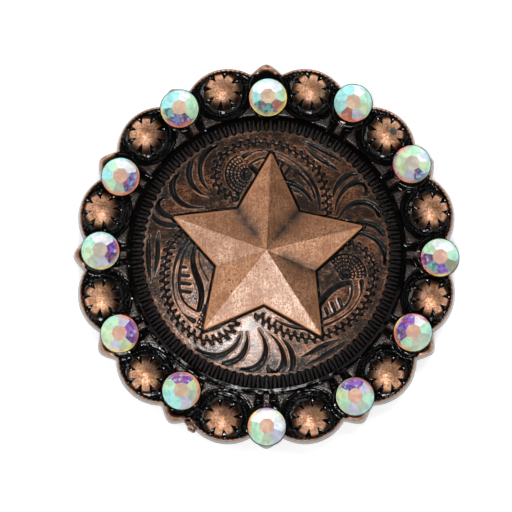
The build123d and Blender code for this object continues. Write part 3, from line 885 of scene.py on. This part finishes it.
feed(tree, shader, {
    "Base Color": blend(tree, black, pitted, LACQUER),
    "Metallic": combine(tree, "SUBTRACT", 1.0, black),
    "Roughness": ramp(tree, strokes, 0.3, 0.7, 0.36, 0.46),
    "Normal": brushed,
    "Coat Weight": 0.6,
    "Coat Roughness": 0.22,
    "Coat Normal": brushed})
star = skin("star", rows, sharp_from=12)
finish_with(star, star_copper)
belongs(star, "concho_body")

# The berries
# Twelve round bosses in the scallops, each with eight V-shaped notches round its foot, part of the casting.
# Tops rubbed to copper, notches black, inner sides and low flanks darkened as painted shade. One has a grey
# fleck.
BERRY_RADIUS = 1.87
BERRY_TOP = 2.85
BERRY_COLUMNS = 160
BERRY_ROWS = 26
BERRY_FOOT = ((1.86, WELL_FLOOR + 0.13), (1.95, WELL_FLOOR + 0.1), (2.06, WELL_FLOOR + 0.055),
              (2.17, WELL_FLOOR + 0.01))
NOTCH_COUNT = 8
NOTCH_INNER = 1.0
NOTCH_FLARE = math.tan(math.radians(23))
NOTCH_SLOPE = 1.5
NOTCH_DEPTH = 0.5
FLECK_MIDDLE = (12.45, 12.0, 2.7)
FLECK_EDGE = (0.3, 0.42)
FLECK = (0.13, 0.15, 0.17, 1)
BERRY_DARK = (0.3, 0.115, 0.05, 1)
BERRY_LIGHT = (0.98, 0.52, 0.28, 1)
# The colour of the painted shade on the berries.
BERRY_SHADE = (0.07, 0.03, 0.018, 1)
BERRY_EDGE = (0.62, 0.3, 0.16, 1)

berry_rise = BERRY_TOP - WELL_FLOOR
ball = (BERRY_RADIUS**2 + berry_rise**2) / (2 * berry_rise)
angles = steps(BERRY_COLUMNS)
notch_step = 2 * math.pi / NOTCH_COUNT
off_notch = np.abs(np.mod(angles, notch_step) - notch_step / 2)
rows = [(pole(BERRY_TOP), {})]
for lean in np.linspace(0, math.acos((ball - berry_rise) / ball), BERRY_ROWS)[1:]:
    radius = ball * math.sin(lean)
    height = BERRY_TOP - ball + ball * math.cos(lean)
    inset = (radius * np.cos(off_notch) - NOTCH_INNER) * NOTCH_FLARE - radius * np.sin(off_notch)
    sunk = np.minimum(NOTCH_SLOPE * np.clip(inset, 0, None), NOTCH_DEPTH)
    pulled = radius - sunk * math.sin(lean)
    lowered = np.maximum(height - sunk * math.cos(lean), WELL_FLOOR - 0.1)
    # Painted shade: the side towards the concho's middle and the low flank are darkened for the dark things
    # they mirror.
    inner_side = ease(-radius / BERRY_RADIUS * np.cos(angles), 0.1, 0.9)
    marks = {"black": np.maximum(np.clip(0.5 + inset / 0.06, 0, 1), ease(lean, 1.2, 1.38))}
    marks["edge"] = np.exp(-np.abs(np.minimum(inset, 0)) / 0.07)
    marks["shade"] = np.maximum(inner_side, 0.5 * ease(radius, 1.5, 1.85))
    rows.append((ring(angles, pulled, lowered), marks))
rows += rings(angles, BERRY_FOOT, {"black": 1.0})
rows.append((pole(WELL_FLOOR - 0.1), {"black": 1.0}))
berry = skin("berry", rows, sharp_from=70)

berry_copper, tree, shader, place = new_material("berry_copper")
black = mark(tree, "black")
bare = combine(tree, "SUBTRACT", 1.0, black)
clouds = noise(tree, place, 0.9, detail=5)
grains = noise(tree, place, 4.5, detail=4, roughness=0.75)
scratches = noise(tree, stretched(tree, place, -0.5, (1.2, 8.0, 1.2)), 1.0, detail=3)
scoured = ramp(tree, scratches, 0.35, 0.6, 0.7, 1.0)
rubs = combine(tree, "MULTIPLY", ramp(tree, grains, 0.4, 0.6, 0.15, 1.0), scoured)
tone = combine(tree, "MULTIPLY", ramp(tree, clouds, 0.3, 0.6, 0.6, 1.0), rubs)
shaded = blend(tree, mark(tree, "shade"), blend(tree, tone, BERRY_DARK, BERRY_LIGHT), BERRY_SHADE)
rubbed = blend(tree, combine(tree, "MULTIPLY", mark(tree, "edge"), 0.5), shaded, BERRY_EDGE)
from_fleck = add_node(tree, "ShaderNodeVectorMath", {0: place, 1: FLECK_MIDDLE}, operation="DISTANCE")
flecked = blend(tree, ramp(tree, from_fleck.outputs["Value"], *FLECK_EDGE, 1.0, 0.0), rubbed, FLECK)
lumps = combine(tree, "MULTIPLY", noise(tree, place, 1.0, detail=1), black)
dented = bump(tree, lumps, 0.06, bump(tree, combine(tree, "MULTIPLY", grains, bare), 0.035))
feed(tree, shader, {
    "Base Color": blend(tree, black, flecked, LACQUER),
    "Metallic": bare,
    "Roughness": level(tree, black, ramp(tree, grains, 0.35, 0.65, 0.5, 0.4), LACQUER_ROUGHNESS),
    "Normal": dented,
    "Coat Weight": combine(tree, "MULTIPLY", bare, 0.8),
    "Coat Roughness": 0.17,
    "Coat IOR": 1.7,
    "Coat Normal": dented})
berries = repeated("berries", berry, SCALLOP_COUNT, BERRY_RING, SCALLOP_STEP / 2, berry_copper)
belongs(berries, "concho_body")

# The milgrain round the berries
# A ring of small beads of uneven size runs round the foot of each berry, except where the lip would cross it.
# They are part of the casting and black with lacquer.
BEAD_COUNT = 54
BEAD_RADIUS = 0.13
BEAD_RING = 2.38
BEAD_REACH = 1.3
BEAD_HEIGHT = 1.36
BEAD_LEANS = (0.7, 1.4, 2.3)
BEAD_SPREAD = 0.2

angles = steps(8)
rows = [(pole(BEAD_HEIGHT + BEAD_RADIUS), {"black": 1.0})]
rows += rings(angles, [(BEAD_RADIUS * math.sin(lean), BEAD_HEIGHT + BEAD_RADIUS * math.cos(lean))
                       for lean in BEAD_LEANS], {"black": 1.0})
rows.append((pole(BEAD_HEIGHT - BEAD_RADIUS), {"black": 1.0}))
bead = skin("bead", rows, sharp_from=180)
bead_ring = repeated("bead_ring", bead, BEAD_COUNT, BEAD_RING, 0.0, rim_copper,
                     size_spread=BEAD_SPREAD, seed=3, reach=BEAD_REACH)
milgrain = repeated("milgrain", bead_ring, SCALLOP_COUNT, BERRY_RING, SCALLOP_STEP / 2, rim_copper)
belongs(milgrain, "concho_body")

# The crystals and their glue
# Twelve flat-back glass stones of 3.7 mm, with a table, eight main facets and small facets at the girdle.
# They have a rainbow coating and a foil back, and each was set by hand in a ring of black glue.
# The colours of their facets are painted reflections of the coating and foil, fixed to each facet.
STONE_RADIUS = 1.85
STONE_TOP = 3.5
STONE_BOTTOM = 2.15
GIRDLE_TOP = 2.35
TABLE_RADIUS = 0.76
SHOULDER_RADIUS = 1.55
GIRDLE_STEPS = (-8.0, 0.0, 8.0, 15.25, 22.5, 29.75)
STONE_TURNS = (8, 31, 17, 4, 24, 39, 12, 28, 20, 3, 35, 15)
GLUE_PROFILE = ((1.8, 2.1), (1.855, 2.28), (1.88, 2.26), (1.93, 2.15), (1.97, 2.0), (1.9, 1.8))
GLUE_COLUMNS = 48
# Colours of the painted sparkles and of the painted dim and pale haze on the stones.
DUSK = (0.05, 0.04, 0.14, 1)
MINT = (0.4, 0.62, 0.55, 1)
EMBER = (0.5, 0.06, 0.1, 1)
DIM_GLASS = (0.16, 0.2, 0.2, 1)
PALE_GLASS = (0.66, 0.68, 0.5, 1)
# The painted reflection colours of the facets, each under a letter.
PALETTE = {
    "t": (0.54, 0.36, 0.25), "k": (0.57, 0.32, 0.24), "g": (0.44, 0.38, 0.31), "m": (0.47, 0.74, 0.48),
    "n": (0.58, 0.7, 0.4), "a": (0.36, 0.72, 0.66), "w": (0.8, 0.8, 0.84), "i": (0.93, 0.97, 0.98),
    "l": (0.54, 0.52, 0.64), "s": (0.46, 0.5, 0.38), "v": (0.27, 0.13, 0.52), "b": (0.2, 0.22, 0.46),
    "p": (0.25, 0.12, 0.26), "r": (0.42, 0.12, 0.1), "o": (0.9, 0.22, 0.06), "y": (0.95, 0.68, 0.16),
    "x": (0.85, 0.12, 0.2), "c": (0.18, 0.4, 0.34), "q": (0.3, 0.27, 0.16),
}
# Letters whose facets also get painted sparkles.
SPARKLE_LETTERS = "vbpxc"
# For each stone, letters of the palette: the table's, then those of the main facets
# and of the girdle, both from the photo's right and anticlockwise.
STONE_LIGHTS = (
    ("k", "mwwmpcvq", "ammmxoyq"),
    ("g", "nwmnnnlb", "aamxpxoq"),
    ("t", "mwaaarln", "aaaaaoom"),
    ("t", "mwwwaccr", "ynamoyyy"),
    ("t", "mmwaacbp", "mmaaayoo"),
    ("k", "bwwmamsb", "oqaaaooo"),
    ("g", "vwwmnslp", "oaaamnyn"),
    ("k", "vvlmnnln", "rroamnyy"),
    ("t", "nvvmaals", "oornaaso"),
    ("k", "iiiimmsl", "lnvyomml"),
    ("k", "mlvvnmls", "arrqnnsa"),
    ("k", "mwvvpmss", "axryoonm"),
)


def around(middle, radius, degrees, height):
    """Points round a middle at a radius, one for each angle in degrees."""
    return ring(np.radians(degrees), radius, height) + np.array([middle[0], middle[1], 0.0])


def stone_piece(name, middle, turn, lights):
    """A cut stone: its facets get the painted reflection colours that lie in their direction."""
    table, facets, girdle = lights
    sides = np.arange(8)
    girdle_side = STONE_RADIUS * math.cos(math.radians(8))
    table_side = TABLE_RADIUS * math.cos(math.pi / 8)
    slope = (STONE_TOP - GIRDLE_TOP) / (girdle_side - table_side)
    shoulder_top = STONE_TOP - (SHOULDER_RADIUS - TABLE_RADIUS) * math.cos(math.pi / 8) * slope
    half_steps = 45 * sides - 22.5 + turn
    rim_steps = (45 * sides[:, None] + np.array(GIRDLE_STEPS)[None]).ravel() + turn
    points = np.concatenate([
        around(middle, TABLE_RADIUS, half_steps, STONE_TOP),
        around(middle, SHOULDER_RADIUS, half_steps, shoulder_top),
        around(middle, STONE_RADIUS, rim_steps, GIRDLE_TOP),
        around(middle, STONE_RADIUS, rim_steps, STONE_BOTTOM)])
    top = list(range(16, 64))
    bottom = list(range(64, 112))
    faces = [tuple(range(8)), tuple(reversed(bottom))]
    letters = table * 8 + table * 48
    for side in range(8):
        compass = int(round((side * 45 + turn) / 45)) % 8
        after = (side + 1) % 8
        edge = [(6 * side + step) % 48 for step in range(7)]
        facet, rim, next_rim = facets[compass], girdle[compass], girdle[(compass + 1) % 8]
        faces.append((side, 8 + side, top[edge[0]], top[edge[1]], top[edge[2]], 8 + after, after))
        letters += facet * 2 + rim * 3 + facet * 2
        faces.append((8 + after, top[edge[2]], top[edge[3]], top[edge[4]], top[edge[5]], top[edge[6]]))
        letters += facet + rim * 2 + next_rim * 3
        for here, there in zip(edge, edge[1:]):
            faces.append((top[here], bottom[here], bottom[there], top[there]))
            letters += rim * 4
    mesh = bpy.data.meshes.new(name)
    mesh.from_pydata((points * MILLIMETRE).tolist(), [], faces)
    colour = mesh.attributes.new("painted_reflection", "FLOAT_COLOR", "CORNER")
    colour.data.foreach_set("color", np.array([(*PALETTE[letter], 1.0) for letter in letters]).ravel())
    painted_sparkle = mesh.attributes.new("painted_sparkle", "FLOAT", "CORNER")
    painted_sparkle.data.foreach_set("value", np.array([float(letter in SPARKLE_LETTERS) for letter in letters]))
    piece = bpy.data.objects.new(name, mesh)
    bpy.context.scene.collection.objects.link(piece)
    return piece


# The stones' colour is painted reflection: each facet's colour from the palette.
crystal, tree, shader, place = new_material("crystal")
painted_reflection = add_node(tree, "ShaderNodeAttribute", attribute_name="painted_reflection").outputs["Color"]
# Painted sparkles in small cells and a painted dim and pale haze, both painted reflection.
cells = add_node(tree, "ShaderNodeTexVoronoi", {"Vector": place, "Scale": 3.4}).outputs["Color"]
chance = add_node(tree, "ShaderNodeSeparateColor", {"Color": cells}).outputs
dusk = blend(tree, ramp(tree, chance["Red"], 0.5, 0.7, 0.0, 0.7), painted_reflection, DUSK)
mint = blend(tree, ramp(tree, chance["Green"], 0.84, 0.9, 0.0, 0.7), dusk, MINT)
embers = blend(tree, ramp(tree, chance["Blue"], 0.8, 0.9, 0.0, 0.7), mint, EMBER)
haze = noise(tree, place, 1.3, detail=3)
dim = blend(tree, ramp(tree, haze, 0.38, 0.55, 0.3, 0.0), painted_reflection, DIM_GLASS)
clear = blend(tree, ramp(tree, haze, 0.5, 0.68, 0.0, 0.3), dim, PALE_GLASS)
feed(tree, shader, {
    "Base Color": blend(tree, mark(tree, "painted_sparkle"), clear, embers),
    "Roughness": 0.08,
    "IOR": 1.6,
    "Thin Film Thickness": 420.0})
for number, (turn, lights) in enumerate(zip(STONE_TURNS, STONE_LIGHTS), 1):
    node = f"crystal_{number:02d}"
    low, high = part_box(node)
    middle = (low + high) / 2 / MILLIMETRE
    stone = stone_piece(f"stone_{number:02d}", middle, turn, lights)
    finish_with(stone, crystal)
    belongs(stone, node)
    degrees = np.degrees(steps(GLUE_COLUMNS))
    rows = [(around(middle, radius, degrees, height), {"black": 1.0}) for radius, height in GLUE_PROFILE]
    glue = skin(f"glue_{number:02d}", rows, sharp_from=180)
    finish_with(glue, rim_copper)
    belongs(glue, "concho_body")

# The floor, the light and the camera, in metres
# A white table, a strip lamp and a small lamp in front, weaker ones at the left, behind and above, and a fill
# that no reflection shows. The ceiling is dark behind the camera, which stands five degrees off straight above.
FLOOR_HALF = 3
FLOOR_LEVEL = -0.00002
LAMP_DISTANCE = 0.6
LAMPS = (
    ("strip_key", (-0.1, -0.68, 0.72), 0.6, 0.035, 0.62),
    ("small_key", (-0.03, -0.68, 0.73), 0.13, 0.13, 0.62),
    ("left_key", (-0.72, 0.25, 0.63), 0.3, 0.3, 0.56),
    ("back_key", (-0.3, 0.72, 0.63), 0.3, 0.3, 0.22),
    ("top_key", (-0.09, -0.12, 0.99), 0.08, 0.08, 0.9),
    ("fill", (0.15, 0.75, 0.6), 0.4, 0.4, 3.0),
)
HOOD_WAY = (-0.05, 0.35, 0.935)
CAMERA_ELEVATION = math.radians(85)
CAMERA_DISTANCE = 0.45
CAMERA_AIM = (-0.00102, 0, 0)
CAMERA_LENS = 321.5

floor_mesh = bpy.data.meshes.new("floor")
floor_corners = [(x * FLOOR_HALF, y * FLOOR_HALF, FLOOR_LEVEL) for x, y in ((-1, -1), (1, -1), (1, 1), (-1, 1))]
floor_mesh.from_pydata(floor_corners, [], [(0, 1, 2, 3)])
floor = bpy.data.objects.new("floor", floor_mesh)
bpy.context.scene.collection.objects.link(floor)
white_table, tree, shader, place = new_material("white_table")
feed(tree, shader, {
    "Base Color": blend(tree, noise(tree, place, 0.02), (0.9, 0.9, 0.9, 1), (0.94, 0.94, 0.94, 1)),
    "Roughness": 0.9,
    "Specular IOR Level": 0.1,
    "Emission Color": (1, 1, 1, 1),
    "Emission Strength": 0.22})
finish_with(floor, white_table)

for name, direction, width, height, strength in LAMPS:
    light = bpy.data.lights.new(name, "AREA")
    light.shape = "RECTANGLE"
    light.size = width
    light.size_y = height
    light.energy = strength
    lamp = bpy.data.objects.new(name, light)
    way = Vector(direction).normalized()
    lamp.location = way * LAMP_DISTANCE
    lamp.rotation_euler = way.to_track_quat("Z", "Y").to_euler()
    lamp.visible_glossy = name != "fill"
    bpy.context.scene.collection.objects.link(lamp)

scene = bpy.context.scene
world = bpy.data.worlds.new("white_ceiling")
world.use_nodes = True
tree = world.node_tree
sky_way = add_node(tree, "ShaderNodeTexCoord").outputs["Generated"]
sky_parts = add_node(tree, "ShaderNodeSeparateXYZ", {"Vector": sky_way}).outputs
in_front = ramp(tree, sky_parts["Y"], 0.05, -0.5, 0.28, 0.5)
behind = ramp(tree, sky_parts["Y"], 0.5, 0.8, 0.0, 0.25)
hood = add_node(tree, "ShaderNodeVectorMath", {0: sky_way, 1: HOOD_WAY}, operation="DOT_PRODUCT")
overhead = ramp(tree, hood.outputs["Value"], 0.78, 0.93, 1.0, 0.08)
walls = add_node(tree, "ShaderNodeMath", {0: in_front, 1: behind}, operation="ADD").outputs["Value"]
glow = add_node(tree, "ShaderNodeMath", {0: walls, 1: overhead}, operation="MULTIPLY").outputs["Value"]
feed(tree, tree.nodes["Background"], {"Color": (1, 1, 1, 1), "Strength": glow})
scene.world = world
scene.view_settings.view_transform = "Standard"

camera_data = bpy.data.cameras.new("camera")
camera_data.sensor_width = 36
camera_data.lens = CAMERA_LENS
camera = bpy.data.objects.new("camera", camera_data)
camera_way = Vector((0, -math.cos(CAMERA_ELEVATION), math.sin(CAMERA_ELEVATION)))
camera.location = Vector(CAMERA_AIM) + CAMERA_DISTANCE * camera_way
camera.rotation_euler = camera_way.to_track_quat("Z", "Y").to_euler()
scene.collection.objects.link(camera)
scene.camera = camera
